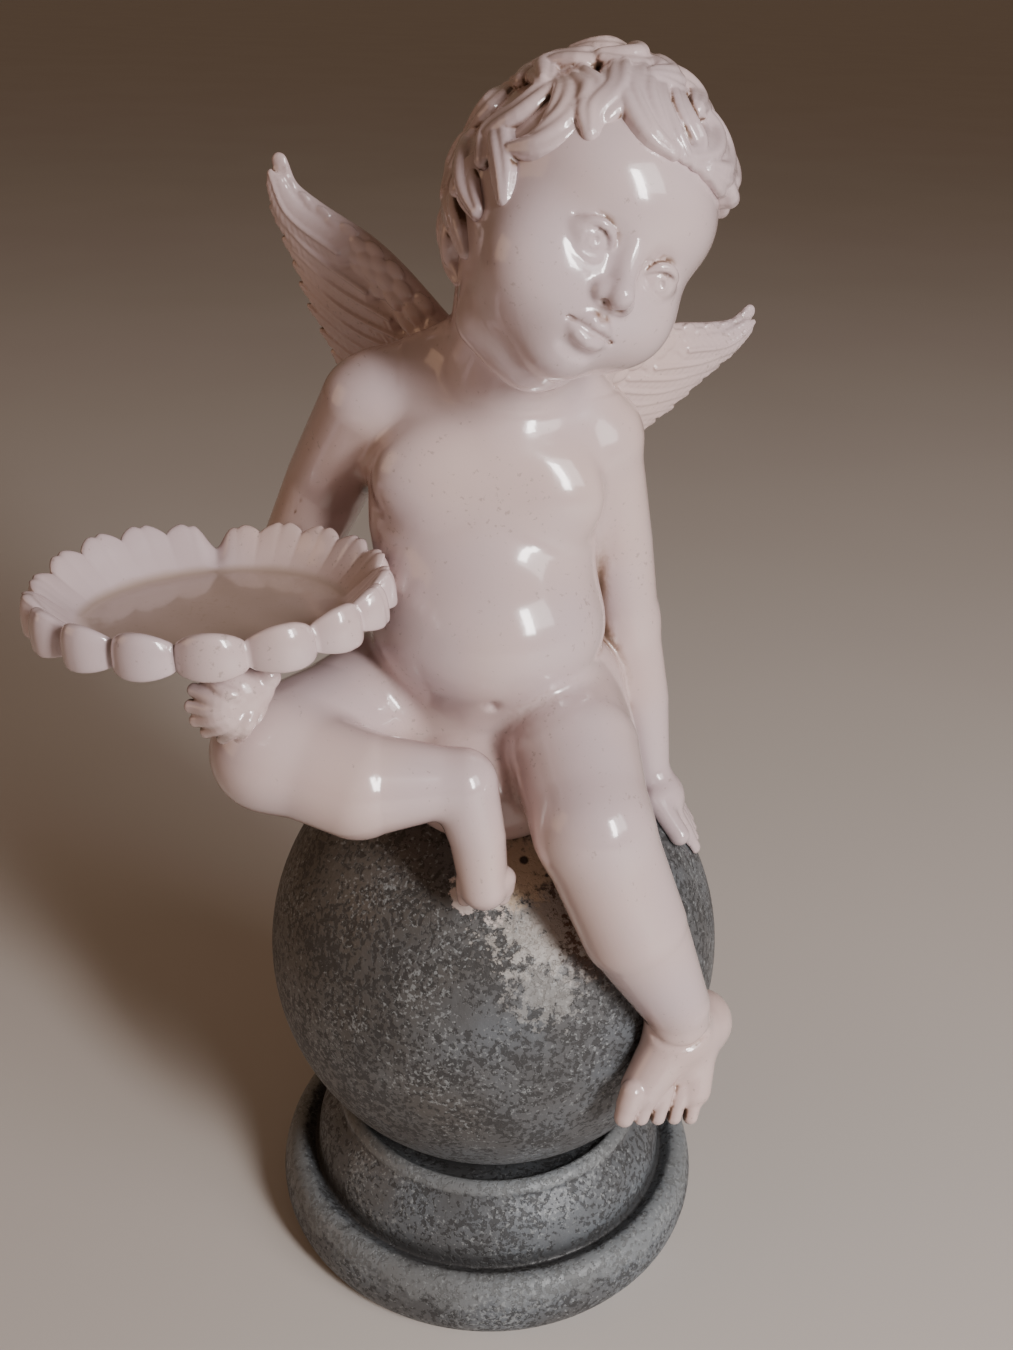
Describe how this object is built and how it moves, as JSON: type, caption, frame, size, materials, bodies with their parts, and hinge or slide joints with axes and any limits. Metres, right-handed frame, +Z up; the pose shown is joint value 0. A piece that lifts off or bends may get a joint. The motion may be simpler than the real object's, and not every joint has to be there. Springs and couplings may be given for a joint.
{
  "type": "angel statuette",
  "caption": "Glazed winged cherub seated on a stone-effect ball and turned foot, one leg folded, holding an oval shell dish over its knee.",
  "frame": {"origin": "on the floor at the middle of the round foot", "axes": "+Z up, the figure faces -Y, +X to the figure's left (the viewer's right)"},
  "size_m": [0.194, 0.1433, 0.3646],
  "materials": {
    "white_glaze": "glossy white glaze, faintly pink, over cast resin",
    "dish_glaze": "glossy white glaze, warmer in the hollow",
    "stone_effect": "dark grey sponged stone effect with pale and dark specks, satin"
  },
  "bodies": {
    "root": {"ball_pedestal": "stone_effect", "shell_dish": "dish_glaze", "cherub": "white_glaze"}
  },
  "joints": []
}
